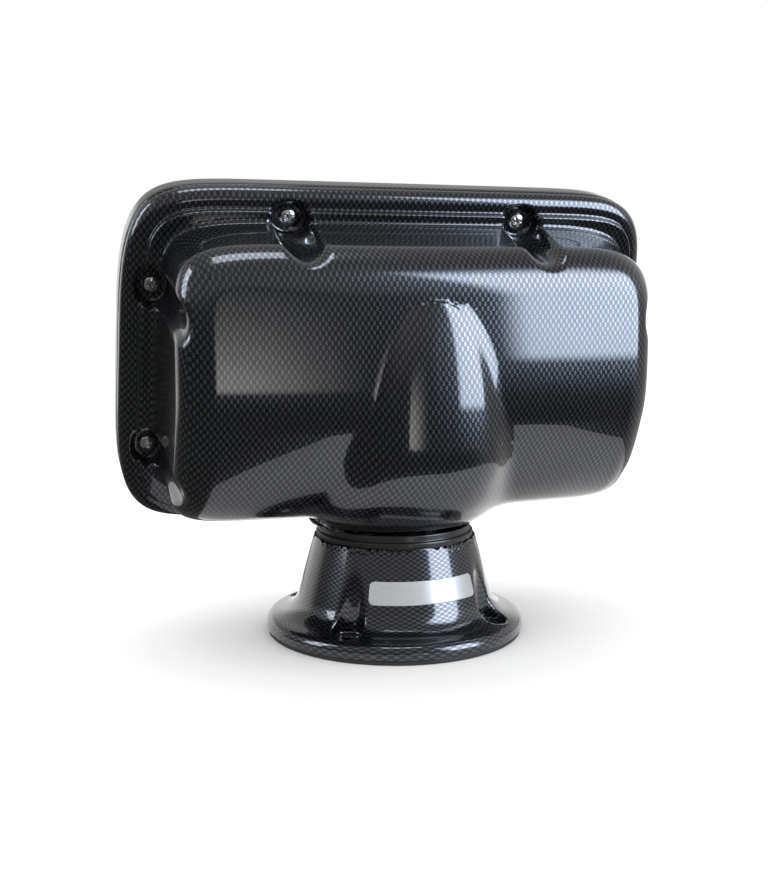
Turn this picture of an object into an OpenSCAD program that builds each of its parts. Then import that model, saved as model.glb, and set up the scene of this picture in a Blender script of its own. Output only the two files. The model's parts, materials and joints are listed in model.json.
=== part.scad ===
// Marine instrument pod: a clamshell display housing on a swivel and tilt pedestal.
// Origin: centre of the base's underside. +Z up, the screen looks along -Y, the moulded back along +Y.

/* [Base] */
// Radius of the base flange
base_r = 70; // [66:0.5:76]
// Height of the flange's upright side above the deck
base_side_h = 6; // [5:0.5:8]
// Radius of the pedestal cone at its foot
cone_foot_r = 54; // [52:0.5:56]
// Radius of the pedestal cone at its top
cone_top_r = 45.4; // [44.5:0.1:46]
// Height of the pedestal's top face
cone_h = 48; // [46:0.5:50]
// Pitch circle of the four deck fixings
deck_pcd = 112; // [110:1:114]
// Radius of the deck fixing holes
deck_hole_r = 3; // [2.5:0.1:3.4]
// Radius of the driver flute above each deck fixing
flute_r = 8.2; // [7.5:0.1:9]
// Thickness of the deck gasket
gasket_t = 2.5; // [2:0.1:3]

/* [Swivel] */
// Outer radius of the swivel collar
collar_r = 42.6; // [42:0.1:43]
// Outer radius of the collar's lip
lip_r = 41; // [40.5:0.1:41.5]
// Height of the lip's top edge
lip_z = 59.2; // [59:0.1:59.4]
// Outer radius of the hollow swivel stem
stem_r = 17; // [16.5:0.1:17.5]
// Radius of the cable bore through the stem
cable_r = 13; // [11:0.5:13.5]

/* [Tilt] */
// Height of the tilt axis above the deck
axis_z = 105; // [104:0.5:106]
// Radius of the pivot bolt
bolt_r = 4; // [3.5:0.1:4.5]
// Lean of the pod from upright, in degrees
pod_lean = 20; // [19:0.5:20]
// Place of the seam's centre along Y
pod_y = -14.5; // [-15:0.5:-14]
// Height of the seam's centre
pod_z = 148.4; // [148:0.1:150]

/* [Pod] */
// Half width of the pod at the seam
pod_a = 144; // [142:0.5:148]
// Half height of the pod at the seam
pod_b = 92.3; // [91:0.1:93]
// Half width of the rear bulge where it leaves the flange
bulge_a = 127; // [126:0.5:128]
// Half height of the rear bulge where it leaves the flange
bulge_b = 75.2; // [74:0.1:76]
// Depth of the rear bulge's top edge behind the seam
top_depth = 54; // [50:1:56]
// Greatest depth of the rear bulge behind the seam
full_depth = 82; // [80:0.5:83]
// Depth of the front shell ahead of the seam
front_depth = 21; // [20:0.5:22]
// Wall thickness of both shells
wall = 3.5; // [3:0.1:4]

/* [Display] */
// Width of the display's bezel
bezel_w = 236; // [230:1:238]
// Height of the display's bezel
bezel_h = 142; // [138:1:144]
// Height the keys stand proud of the bezel
key_proud = 1.3; // [1:0.1:1.6]

/* [Hidden] */

$fn = 96;
seam_gap = 0.5;
plate_t = 5;
ring_z = 50.5;
rim_z = 53.5;
web_z = 52.5;
yoke_z = 55;
stem_low = 18;
stop_r = 26.8;
screw_xv = [[62.6, 78.6], [128.7, 43.8]];
seat_w = 4;
tier_w = 8;
step_w = 12;
face_w = -front_depth;
bezel_t = 4;
bezel_w0 = face_w - 1 - bezel_t;
cut_w = 218;
cut_h = 126;
keys_x = 90;
knob_v = -32;
door_x = -62;
door_v = -55;

// ---- placing ----
module pod() {
    translate([0, pod_y, pod_z]) rotate([-pod_lean, 0, 0]) children();
}

// A piece given in the pod's own axes: x, depth w behind the seam, height v.
module at_pod(x, w, v) {
    pod() translate([x, w, v]) children();
}

// A cylinder along the pod's depth axis, from w0 to w1.
module depth_cyl(x, v, w0, w1, r, r2 = -1) {
    at_pod(x, w0, v) rotate([-90, 0, 0]) cylinder(h = w1 - w0, r1 = r, r2 = r2 < 0 ? r : r2);
}

module depth_tube(x, v, w0, w1, r, hole) {
    difference() {
        depth_cyl(x, v, w0, w1, r);
        depth_cyl(x, v, w0 - 1, w1 + 1, hole);
    }
}

module round_rect(w, h, r) {
    union() {
        square([w - 2 * r, h], center = true);
        square([w, h - 2 * r], center = true);
        for (i = [-1, 1], j = [-1, 1]) translate([i * (w / 2 - r), j * (h / 2 - r)]) circle(r = r, $fn = 32);
    }
}

// A rounded slab across the pod's depth axis, from w0 to w1.
module slab(x, v, w0, w1, wide, high, r) {
    at_pod(x, w0, v) rotate([90, 0, 0]) mirror([0, 0, 1]) linear_extrude(w1 - w0) round_rect(wide, high, r);
}

module x_cyl(x0, x1, r) {
    translate([x0, 0, axis_z]) rotate([0, 90, 0]) cylinder(h = x1 - x0, r = r);
}

// ---- outlines of the pod ----
around = 56;

// Corner-to-corner walk round a rectangle of half sizes a and b.
function walk(i) =
    let (q = floor(4 * i / around), f = 4 * i / around - q, k = 2 * f - 1)
    q == 0 ? [1, -k] : q == 1 ? [-k, -1] : q == 2 ? [-1, k] : [k, 1];

function solve(u, p, q, s, n) = n == 0 ? s :
    let (fx = pow(abs(s * u[0]), p), fv = pow(abs(s * u[1]), q))
    solve(u, p, q, s - (fx + fv - 1) / ((p * fx + q * fv) / s), n - 1);

// Points of |x/a|^p + |v/b|^q = 1 along the walk, and their outward normals.
function outline(a, b, p, q, v0 = 0) = [for (i = [0:around - 1])
    let (u = walk(i), s = solve(u, p, q, 1, 12)) [a * s * u[0], v0 + b * s * u[1]]];
function normals(a, b, p, q, pts, v0 = 0) = [for (c = pts)
    let (x = c[0] / a, v = (c[1] - v0) / b,
        g = [sign(x) * p / a * pow(abs(x), p - 1), sign(v) * q / b * pow(abs(v), q - 1)])
    g / norm(g)];

seam_pts = outline(pod_a, pod_b, 11, 4.2);
seam_nrm = normals(pod_a, pod_b, 11, 4.2, seam_pts);
crease_v = 2;
crease_pts = outline(bulge_a, bulge_b, 8, 8, crease_v);
crease_nrm = normals(bulge_a, bulge_b, 8, 8, crease_pts, crease_v);

function inset(pts, nrm, d) = [for (i = [0:around - 1]) pts[i] - d * nrm[i]];
function at_w(pts, w) = [for (c = pts) [c[0], w, c[1]]];
function blend(p, q, f) = [for (i = [0:around - 1]) p[i] * (1 - f) + q[i] * f];

// Depth of the moulded back at a point: an even slope above the middle, a full curve below it.
mid_v = -5;
low_w = 16;
function back_w(x, v) =
    let (up = min(1, (v - mid_v) / (crease_v + bulge_b - mid_v)),
        dn = min(0.9999, (mid_v - v) / (mid_v - crease_v + bulge_b)))
    (v > mid_v ? top_depth + (full_depth - top_depth) * (1 - pow(up, 1.3))
        : low_w + (full_depth - low_w) * pow(1 - pow(dn, 2.9), 1 / 2.9)) - 4.5 * pow(x / bulge_a, 2);

edge_r = 15;
draft_in = 2;

// Rings over the bulge: the wall, the rounded edge, then smaller copies of the last ring.
function edge_ring(off, a) =
    let (d = draft_in + edge_r * (1 - cos(a)) + off, ring = inset(crease_pts, crease_nrm, d))
    [for (c = ring) [c[0], back_w(c[0], c[1]) - edge_r * (1 - sin(a)) - off, c[1]]];
function crown_ring(off, s) =
    let (ring = inset(crease_pts, crease_nrm, draft_in + edge_r + off))
    [for (c = ring) let (x = c[0] * s, v = crease_v + (c[1] - crease_v) * s) [x, back_w(x, v) - off, v]];
function bulge_rings(off) = concat(
    [for (a = [0:22.5:90]) edge_ring(off, a)],
    [for (s = [0.86, 0.7, 0.5, 0.3, 0.1]) crown_ring(off, s)]);

// Keeps a moulded shell as one skin.
module moulded() {
    resize([0, 0, 0]) union() children();
}

// A closed solid through rings of equal count.
module loft(rings) {
    n = len(rings[0]);
    m = len(rings);
    polyhedron(points = [for (r = rings, c = r) c],
        faces = concat(
            [[for (i = [0:n - 1]) i]],
            [for (k = [0:m - 2], i = [0:n - 1]) let (j = (i + 1) % n)
                each [[k * n + i, (k + 1) * n + i, (k + 1) * n + j], [k * n + i, (k + 1) * n + j, k * n + j]]],
            [[for (i = [n - 1:-1:0]) (m - 1) * n + i]]));
}

// ---- thumb: the hump on the back that houses the tilt joint ----
thumb_low = 57.5;
thumb_mid = 107.5;
function thumb_back(z, off) = (z < thumb_mid
    ? 8 + 62.5 * sqrt(max(0, 1 - pow((thumb_mid - z) / (thumb_mid - thumb_low), 2)))
    : 70.5 - 8.5 * pow((z - thumb_mid) / 68, 2)) - off;
function thumb_half(z, off) = (z < 95
    ? 48 * pow(max(0, 1 - pow((95 - z) / 38.2, 5)), 0.27)
    : 48 * pow(max(0, 1 - pow((z - 95) / 82, 2.2)), 0.65)) - off;
function thumb_front(z, off) = z < thumb_mid
    ? -26 * sqrt(max(0, 1 - pow((thumb_mid - z) / (thumb_mid - thumb_low), 4))) + off
    : thumb_back(z, off) - 2 * thumb_half(z, off);
function thumb_ring(z, off) =
    let (b = thumb_back(z, off), f = thumb_front(z, off), h = thumb_half(z, off))
    [for (t = [0:11.25:350]) [-h * sin(t), (b + f) / 2 + (b - f) / 2 * cos(t), z]];

module thumb(off) {
    low = thumb_low + off + 0.3;
    loft([for (z = [low, low + 1, low + 2.5, low + 5, low + 9, 75, 85, 95, 107, 120, 134, 147, 158,
        167 - off, 173 - off])
        thumb_ring(z, off)]);
}

// ---- base ----
module pedestal() {
    color([0.09, 0.10, 0.12]) difference() {
        rotate_extrude() polygon([
            [0, cone_h - plate_t], [cone_foot_r - 12, cone_h - plate_t], [cone_foot_r - 7, gasket_t + 6],
            [cone_foot_r - 7, gasket_t], [base_r - 0.4, gasket_t], [base_r, gasket_t + 0.6],
            [base_r, base_side_h], [base_r - 0.5, base_side_h + 1.7], [base_r - 1.8, base_side_h + 3],
            [base_r - 4, base_side_h + 4], [cone_foot_r + 4, base_side_h + 6],
            [cone_foot_r + 1.4, base_side_h + 7], [cone_foot_r, base_side_h + 9],
            [50.8, 26], [47.9, 38], [cone_top_r, cone_h - 1.5], [cone_top_r - 0.7, rim_z - 1.2],
            [cone_top_r - 1.2, rim_z], [collar_r + 0.5, rim_z], [collar_r + 0.5, cone_h], [0, cone_h]]);
        translate([0, 0, cone_h - plate_t - 1]) cylinder(h = plate_t + 2, r = stem_r + 3);
        for (a = [45:90:315]) rotate(a) translate([deck_pcd / 2, 0, 0]) {
            translate([0, 0, base_side_h + 2.5]) cylinder(h = cone_h, r = flute_r);
            cylinder(h = 20, r = deck_hole_r);
        }
        rotate(90) translate([stop_r, 0, cone_h - plate_t - 1]) cylinder(h = plate_t + 2, r = 1.5, $fn = 32);
    }
}

module deck_gasket() {
    color([0.05, 0.05, 0.05]) difference() {
        cylinder(h = gasket_t, r = base_r - 1);
        translate([0, 0, -1]) cylinder(h = gasket_t + 2, r = cone_foot_r - 7);
        for (a = [45:90:315]) rotate(a) translate([deck_pcd / 2, 0, -1])
            cylinder(h = gasket_t + 2, r = deck_hole_r);
    }
}

module blank_label() {
    color([0.85, 0.86, 0.88]) rotate(90 - 35) rotate_extrude(angle = 70)
        polygon([[50.98, 25.5], [51.45, 25.5], [48.65, 37.1], [48.18, 37.1]]);
}

module thrust_ring() {
    color([0.04, 0.04, 0.04]) difference() {
        translate([0, 0, cone_h]) cylinder(h = ring_z - cone_h - 0.1, r = collar_r - 0.6);
        translate([0, 0, cone_h - 1]) cylinder(h = 5, r = 30.2);
    }
}

module swivel_bush() {
    color([0.85, 0.83, 0.75]) difference() {
        union() {
            translate([0, 0, cone_h - plate_t - 1]) cylinder(h = plate_t + 1, r = stem_r + 3);
            translate([0, 0, cone_h - plate_t - 1]) cylinder(h = 1, r = stem_r + 8);
        }
        translate([0, 0, cone_h - plate_t - 2]) cylinder(h = plate_t + 4, r = stem_r + 0.05);
    }
}

module stop_pin() {
    color([0.7, 0.7, 0.72]) rotate(90) translate([stop_r, 0, cone_h - plate_t])
        cylinder(h = 7.4, r = 1.5, $fn = 32);
}

// ---- swivel ----
module swivel_collar() {
    color([0.05, 0.05, 0.055]) difference() {
        union() {
            rotate_extrude() polygon([
                [cable_r, stem_low], [stem_r, stem_low], [stem_r, cone_h + 0.5], [29.8, cone_h + 0.5],
                [29.8, ring_z], [collar_r, ring_z], [collar_r, lip_z - 4], [collar_r - 0.5, lip_z - 3.4],
                [lip_r, lip_z - 3.4], [lip_r, lip_z - 0.5], [lip_r - 0.5, lip_z], [38.4, lip_z],
                [38.4, web_z], [cable_r, web_z]]);
        }
        rotate(-90 + 8) rotate_extrude(angle = 344)
            polygon([[stop_r - 1.9, cone_h], [stop_r + 1.9, cone_h],
                [stop_r + 1.9, cone_h + 2.8], [stop_r - 1.9, cone_h + 2.8]]);
        for (a = [45:90:315]) rotate(a) translate([19.5, 0, cone_h]) cylinder(h = 10, r = 1.5, $fn = 32);
    }
}

module wave_washer() {
    color([0.72, 0.72, 0.74]) translate([0, 0, 40.8]) difference() {
        cylinder(h = 1.1, r = stem_r + 7);
        translate([0, 0, -1]) cylinder(h = 4, r = stem_r + 0.3);
    }
}

module ring_nut() {
    color([0.78, 0.66, 0.36]) difference() {
        translate([0, 0, 34.8]) cylinder(h = 6, r = stem_r + 9);
        translate([0, 0, 30]) cylinder(h = 20, r = stem_r + 0.02);
        for (a = [0:60:300]) rotate(a) translate([stem_r + 6.5, -2.5, 30]) cube([10, 5, 20]);
    }
}

ear_x = 15.9;
ear_t = 5;
module tilt_yoke() {
    color([0.62, 0.63, 0.65]) difference() {
        union() {
            translate([0, 0, web_z]) cylinder(h = yoke_z - web_z, r = 24);
            for (s = [-1, 1]) {
                translate([s * (ear_x + ear_t / 2) - ear_t / 2, -7, web_z]) cube([ear_t, 14, axis_z - web_z]);
                x_cyl(s * (ear_x + ear_t / 2) - ear_t / 2, s * (ear_x + ear_t / 2) + ear_t / 2, 10);
            }
        }
        translate([0, 0, 40]) cylinder(h = 30, r = cable_r);
        x_cyl(-30, 30, bolt_r + 0.05);
        for (a = [45:90:315]) rotate(a) translate([19.5, 0, 40]) {
            cylinder(h = 30, r = 1.6, $fn = 32);
            translate([0, 0, yoke_z - 1.7 - 40]) cylinder(h = 1.71, r1 = 1.6, r2 = 3.2, $fn = 32);
        }
    }
}

module yoke_screws() {
    color([0.75, 0.75, 0.77]) for (a = [45:90:315]) rotate(a) translate([19.5, 0, 0]) difference() {
        union() {
            translate([0, 0, cone_h + 0.8]) cylinder(h = 5, r = 1.45, $fn = 32);
            translate([0, 0, yoke_z - 1.65]) cylinder(h = 1.6, r1 = 1.45, r2 = 3, $fn = 32);
        }
        translate([0, 0, yoke_z - 1]) cylinder(h = 2, r = 1.2, $fn = 6);
    }
}

// ---- shells ----
module rear_outer() {
    pod() loft(concat(
        [at_w(seam_pts, seam_gap), at_w(seam_pts, 3), at_w(inset(seam_pts, seam_nrm, 0.9), 5.4),
            at_w(inset(seam_pts, seam_nrm, 2.7), 7.1), at_w(inset(seam_pts, seam_nrm, 5.5), tier_w),
            at_w(inset(seam_pts, seam_nrm, 8.6), tier_w + 0.2),
            at_w(inset(seam_pts, seam_nrm, 9.6), tier_w + 2.8),
            at_w(blend(inset(seam_pts, seam_nrm, 10), crease_pts, 0.3), step_w - 0.2),
            at_w(crease_pts, step_w)],
        bulge_rings(0)));
}

module rear_inner() {
    pod() loft(concat(
        [at_w(inset(seam_pts, seam_nrm, wall), -1), at_w(inset(seam_pts, seam_nrm, wall), tier_w - wall),
            at_w(blend(inset(seam_pts, seam_nrm, 12), crease_pts, 0.5), tier_w - wall + 0.3),
            at_w(inset(crease_pts, crease_nrm, wall), step_w - wall)],
        bulge_rings(wall)));
}

// Driver wells: a seat in the flange for each screw, and a tapered scoop out through the bulge.
module wells(grow) {
    for (s = screw_xv, i = [-1, 1], j = [-1, 1])
        depth_cyl(i * s[0], j * s[1], seat_w - grow, 100, 7 + grow, 11 + grow);
}

// The cavity is cut with the wells and the frame's bosses left standing in it.
module rear_shell() {
    color([0.10, 0.11, 0.13]) moulded() difference($fn = 20) {
        union() {
            rear_outer();
            thumb(0);
        }
        difference() {
            union() {
                rear_inner();
                thumb(wall);
            }
            wells(wall - 0.7);
            for (x = [-18, 18], z = [96, 118]) translate([x, 44, z]) rotate([-90, 0, 0])
                cylinder(h = 40, r = 6);
        }
        wells(0);
        for (s = screw_xv, i = [-1, 1], j = [-1, 1]) depth_cyl(i * s[0], j * s[1], -2, 10, 2.2);
        for (x = [-18, 18], z = [96, 118]) translate([x, 43, z]) rotate([-90, 0, 0]) cylinder(h = 17, r = 2.05);
        translate([-27, -34, 48]) cube([54, 52, 22]);
    }
}

module front_shell() {
    color([0.10, 0.11, 0.13]) moulded() difference($fn = 28) {
        union() {
            difference() {
                pod() loft([
                    at_w(inset(seam_pts, seam_nrm, 11), face_w),
                    at_w(inset(seam_pts, seam_nrm, 6.5), face_w + 0.8),
                    at_w(inset(seam_pts, seam_nrm, 3), face_w + 3),
                    at_w(inset(seam_pts, seam_nrm, 1), face_w + 7),
                    at_w(inset(seam_pts, seam_nrm, 0.2), face_w + 12),
                    at_w(seam_pts, -4), at_w(seam_pts, -seam_gap)]);
                pod() loft([
                    at_w(inset(seam_pts, seam_nrm, 9), face_w + wall),
                    at_w(inset(seam_pts, seam_nrm, 5), face_w + wall + 3),
                    at_w(inset(seam_pts, seam_nrm, wall), face_w + wall + 8),
                    at_w(inset(seam_pts, seam_nrm, wall), 1)]);
            }
            for (s = screw_xv, i = [-1, 1], j = [-1, 1])
                depth_cyl(i * s[0], j * s[1], face_w + wall - 0.5, -seam_gap, 6);
        }
        slab(0, 0, face_w - 1, face_w + wall + 1, cut_w, cut_h, 8);
        for (s = screw_xv, i = [-1, 1], j = [-1, 1]) depth_cyl(i * s[0], j * s[1], -12, 1, 3.4);
        for (i = [-1, 1], j = [-1, 1]) depth_cyl(i * 113.5, j * 22, face_w - 1, face_w + wall + 1, 2.2);
    }
}

module shell_gasket() {
    color([0.12, 0.12, 0.13]) difference() {
        pod() loft([at_w(inset(seam_pts, seam_nrm, 0.6), -seam_gap),
            at_w(inset(seam_pts, seam_nrm, 0.6), seam_gap)]);
        pod() loft([at_w(inset(seam_pts, seam_nrm, wall), -2), at_w(inset(seam_pts, seam_nrm, wall), 2)]);
    }
}

module shell_screws() {
    color([0.80, 0.80, 0.82]) for (s = screw_xv, i = [-1, 1], j = [-1, 1]) difference() {
        union() {
            depth_cyl(i * s[0], j * s[1], -10, seat_w, 1.95);
            at_pod(i * s[0], 0, j * s[1]) rotate([-90, 0, 0]) rotate_extrude()
                polygon([[0, seat_w], [4.4, seat_w], [4.4, seat_w + 1], [3.9, seat_w + 2], [2.8, seat_w + 2.6],
                    [1.4, seat_w + 2.9], [0, seat_w + 3]]);
        }
        at_pod(i * s[0], seat_w + 1.4, j * s[1]) rotate([-90, 0, 0]) cylinder(h = 4, r = 1.9, $fn = 6);
    }
}

module shell_inserts() {
    color([0.80, 0.64, 0.30]) for (s = screw_xv, i = [-1, 1], j = [-1, 1])
        depth_tube(i * s[0], j * s[1], -11.5, -0.6, 3.38, 2);
}

// ---- tilt joint inside the thumb ----
cheek_x = 22;
cheek_t = 5;
module tilt_frame() {
    color([0.55, 0.56, 0.58]) difference() {
        union() {
            translate([-cheek_x - cheek_t, 39, 88]) cube([2 * (cheek_x + cheek_t), 4.9, 38]);
            for (s = [-1, 1]) {
                translate([s * (cheek_x + cheek_t / 2) - cheek_t / 2, 0, axis_z - 11]) cube([cheek_t, 40, 22]);
                x_cyl(s * (cheek_x + cheek_t / 2) - cheek_t / 2, s * (cheek_x + cheek_t / 2) + cheek_t / 2, 11);
            }
        }
        x_cyl(-40, 40, 6);
        for (x = [-18, 18], z = [96, 118]) translate([x, 30, z]) rotate([-90, 0, 0]) cylinder(h = 20, r = 2.2);
    }
}

module frame_screws() {
    color([0.75, 0.75, 0.77]) for (x = [-18, 18], z = [96, 118])
        translate([x, 0, z]) rotate([-90, 0, 0]) difference() {
        union() {
            translate([0, 0, 39]) cylinder(h = 18, r = 2);
            translate([0, 0, 36.4]) cylinder(h = 2.6, r = 3.8);
        }
        translate([0, 0, 36]) cylinder(h = 1.8, r = 1.7, $fn = 6);
    }
}

module pivot_bolt() {
    color([0.75, 0.75, 0.77]) union() {
        x_cyl(-37, 28, bolt_r);
        x_cyl(28, 33, 6.5);
    }
}

module pivot_bushes() {
    color([0.86, 0.84, 0.76]) for (s = [-1, 1]) difference() {
        union() {
            x_cyl(s * 24.5 - 2.5, s * 24.5 + 2.5, 6);
            x_cyl(s * 21.5 - 0.5, s * 21.5 + 0.5, 9);
        }
        x_cyl(-40, 40, bolt_r + 0.02);
    }
}

module pivot_washers() {
    color([0.75, 0.75, 0.77]) for (s = [-1, 1]) difference() {
        x_cyl(s * 27.5 - 0.5, s * 27.5 + 0.5, 8.5);
        x_cyl(-40, 40, bolt_r + 0.2);
    }
}

module pivot_nut() {
    color([0.75, 0.75, 0.77]) difference() {
        union() {
            translate([-34, 0, axis_z]) rotate([0, 90, 0]) cylinder(h = 6, r = 7.4, $fn = 6);
            x_cyl(-35.8, -34, 5.6);
        }
        x_cyl(-40, -20, bolt_r + 0.02);
    }
}

// ---- display ----
module display_gasket() {
    color([0.05, 0.05, 0.05]) difference() {
        slab(0, 0, face_w - 1, face_w, bezel_w - 2, bezel_h - 2, 11);
        slab(0, 0, face_w - 2, face_w + 1, cut_w, cut_h, 8);
        for (i = [-1, 1], j = [-1, 1]) depth_cyl(i * 113.5, j * 22, face_w - 3, face_w + 3, 2.1);
    }
}

glass_x = -23;
glass_v = 5;
module display_bezel() {
    color([0.07, 0.07, 0.075]) difference() {
        slab(0, 0, bezel_w0, face_w - 1, bezel_w, bezel_h, 12);
        slab(glass_x, glass_v, bezel_w0 - 1, face_w, 166, 96, 3);
        slab(glass_x, glass_v, bezel_w0 - 1, bezel_w0 + 1.7, 172.4, 102.4, 5);
        for (v = [52, 34, 16, -2]) slab(keys_x, v, bezel_w0 - 1, face_w, 22.8, 10.8, 5.3);
        depth_cyl(keys_x, knob_v, bezel_w0 - 1, face_w, 6);
        slab(door_x, door_v, bezel_w0 - 1, bezel_w0 + 2.8, 46.8, 15.2, 1.5);
        slab(door_x, door_v, bezel_w0 - 1, face_w, 34, 7, 1.5);
        at_pod(door_x - 25.5, bezel_w0 + 1, door_v - 5.2) rotate([0, 90, 0])
            cylinder(h = 51, r = 0.43, $fn = 32);
    }
}

module cover_glass() {
    color([0.03, 0.04, 0.05]) slab(glass_x, glass_v, bezel_w0 + 0.1, bezel_w0 + 1.7, 172, 102, 4.8);
}

module lcd_panel() {
    color([0.02, 0.03, 0.04]) slab(glass_x, glass_v, bezel_w0 + 1.8, bezel_w0 + 8, 164, 95, 2);
}

module display_case() {
    color([0.08, 0.08, 0.085]) difference() {
        slab(0, 0, face_w - 1, 13, cut_w - 2, cut_h - 2, 7);
        slab(0, 0, face_w - 2, 10.5, cut_w - 7, cut_h - 7, 5);
        for (x = [-60, 0, 60]) depth_cyl(x, 30, 5, 20, 7);
    }
}

module main_board() {
    color([0.05, 0.30, 0.15]) slab(0, 3, -6, -4.4, 196, 108, 3);
}

module key_board() {
    color([0.05, 0.30, 0.15]) difference() {
        slab(keys_x - 0.5, 10, -19.2, -18, 26, 98, 2);
        depth_cyl(keys_x, knob_v, -20, -17, 5);
    }
}

module bezel_studs() {
    color([0.78, 0.78, 0.80]) for (i = [-1, 1], j = [-1, 1]) depth_cyl(i * 113.5, j * 22, face_w - 1, -9, 2);
}

module stud_nuts() {
    color([0.78, 0.66, 0.36]) for (i = [-1, 1], j = [-1, 1])
        depth_tube(i * 113.5, j * 22, face_w + wall, face_w + wall + 4.5, 4.6, 2.03);
}

module rear_sockets() {
    color([0.10, 0.10, 0.10]) for (x = [-60, 0, 60]) difference() {
        union() {
            depth_cyl(x, 30, 7, 25, 6.9);
            depth_cyl(x, 30, 13, 16, 10);
        }
        depth_cyl(x, 30, 11, 26, 5.2);
    }
}

module socket_caps() {
    color([0.06, 0.06, 0.06]) for (x = [-60, 0, 60]) difference() {
        depth_cyl(x, 30, 17, 28, 8.6);
        depth_cyl(x, 30, 16, 25.1, 7);
    }
}

module encoder() {
    color([0.60, 0.60, 0.62]) difference() {
        union() {
            depth_cyl(keys_x, knob_v, -23, -14, 4.8);
            slab(keys_x, knob_v, -17.9, -9, 13, 13, 1);
        }
        depth_cyl(keys_x, knob_v, -24, -12, 2.05);
    }
}

module knob_shaft() {
    color([0.70, 0.70, 0.72]) depth_cyl(keys_x, knob_v, -32, -12.4, 2);
}

module card_reader() {
    color([0.55, 0.56, 0.58]) difference() {
        slab(door_x, door_v, face_w - 0.9, -1, 36, 8, 1);
        slab(door_x, door_v, face_w - 3, -4, 25, 3, 0.5);
    }
}

module rotary_knob() {
    color([0.06, 0.06, 0.065]) at_pod(keys_x, bezel_w0 - 13, knob_v) rotate([-90, 0, 0]) difference() {
        union() {
            rotate_extrude() polygon([[8, 0], [12.6, 0], [14, 0.8], [14.6, 2.4], [14.6, 12.6], [0, 12.6],
                [0, 4], [8, 4]]);
            translate([0, 0, 2.2]) linear_extrude(8.5) difference() {
                polygon([for (t = [0:3:357]) (15.2 + 0.45 * cos(24 * t)) * [cos(t), sin(t)]]);
                circle(r = 13);
            }
        }
        translate([0, 0, 6.5]) cylinder(h = 10, r = 2.02);
    }
}

module select_button() {
    color([0.55, 0.56, 0.58]) at_pod(keys_x, bezel_w0 - 14, knob_v) rotate([-90, 0, 0])
        rotate_extrude() polygon([[0, 0], [5.6, 0], [7.4, 0.8], [7.7, 1.6], [7.7, 4], [0, 4]]);
}

module key(v) {
    union() {
        slab(keys_x, v, bezel_w0 - key_proud, bezel_w0 + 2, 22, 10, 4.9);
        slab(keys_x, v, bezel_w0 + 1.9, -20.3, 12, 6, 2);
    }
}

module power_key() { color([0.20, 0.20, 0.21]) key(52); }
module menu_key() { color([0.20, 0.20, 0.21]) key(34); }
module page_key() { color([0.20, 0.20, 0.21]) key(16); }
module mark_key() { color([0.20, 0.20, 0.21]) key(-2); }

module card_door() {
    color([0.08, 0.08, 0.085]) difference() {
        union() {
            slab(door_x, door_v + 0.5, bezel_w0 - 0.4, bezel_w0 + 2, 46, 13.4, 1.2);
            slab(door_x, door_v + 7.2, bezel_w0 - 1.1, bezel_w0 - 0.2, 12, 2.4, 0.4);
        }
        at_pod(door_x - 26, bezel_w0 + 1, door_v - 5.2) rotate([0, 90, 0]) cylinder(h = 52, r = 0.45, $fn = 32);
    }
}

module door_pin() {
    color([0.75, 0.75, 0.77]) at_pod(door_x - 25, bezel_w0 + 1, door_v - 5.2) rotate([0, 90, 0])
        cylinder(h = 50, r = 0.4, $fn = 32);
}

pedestal();
deck_gasket();
blank_label();
thrust_ring();
swivel_bush();
stop_pin();
swivel_collar();
wave_washer();
ring_nut();
tilt_yoke();
yoke_screws();
rear_shell();
front_shell();
shell_gasket();
shell_screws();
shell_inserts();
tilt_frame();
frame_screws();
pivot_bolt();
pivot_bushes();
pivot_washers();
pivot_nut();
display_gasket();
display_bezel();
cover_glass();
lcd_panel();
display_case();
main_board();
key_board();
bezel_studs();
stud_nuts();
rear_sockets();
socket_caps();
encoder();
card_reader();
rotary_knob();
knob_shaft();
select_button();
power_key();
menu_key();
page_key();
mark_key();
card_door();
door_pin();
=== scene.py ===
"""Looks of the marine instrument pod: smooth moulded shells, carbon-print finish, fittings and display.

Lengths in the shape functions are millimetres, and MM turns them into Blender's metres. Materials, camera and
lights are in metres. The pod's own axes are x (across), w (depth behind the seam) and v (height), and
pod_points() turns them into the frame's x, y and z.
"""

import itertools
import json
import math

import bmesh
import bpy
import numpy as np
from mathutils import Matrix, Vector


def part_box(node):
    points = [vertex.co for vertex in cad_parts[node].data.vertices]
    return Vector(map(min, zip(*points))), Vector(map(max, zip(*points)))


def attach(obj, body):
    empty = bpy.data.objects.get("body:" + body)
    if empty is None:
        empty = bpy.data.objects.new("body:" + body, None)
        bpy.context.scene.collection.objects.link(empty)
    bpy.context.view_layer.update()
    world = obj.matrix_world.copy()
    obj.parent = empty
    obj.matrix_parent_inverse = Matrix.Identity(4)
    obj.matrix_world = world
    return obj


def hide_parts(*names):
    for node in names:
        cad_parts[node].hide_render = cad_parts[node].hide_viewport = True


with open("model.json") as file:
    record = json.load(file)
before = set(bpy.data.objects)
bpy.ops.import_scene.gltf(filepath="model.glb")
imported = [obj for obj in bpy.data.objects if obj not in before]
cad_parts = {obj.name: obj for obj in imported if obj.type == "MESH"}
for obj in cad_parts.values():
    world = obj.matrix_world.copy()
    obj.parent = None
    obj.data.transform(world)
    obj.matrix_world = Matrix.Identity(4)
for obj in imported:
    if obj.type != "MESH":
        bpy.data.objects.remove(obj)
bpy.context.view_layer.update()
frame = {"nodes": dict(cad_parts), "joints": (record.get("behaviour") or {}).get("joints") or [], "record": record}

MM = 0.001


# ---- places taken from the frame ----
def box_mm(node):
    low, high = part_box(node)
    return np.array(low) / MM, np.array(high) / MM


def joint(name):
    return next(j for j in frame["joints"] if j["name"] == name)


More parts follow.
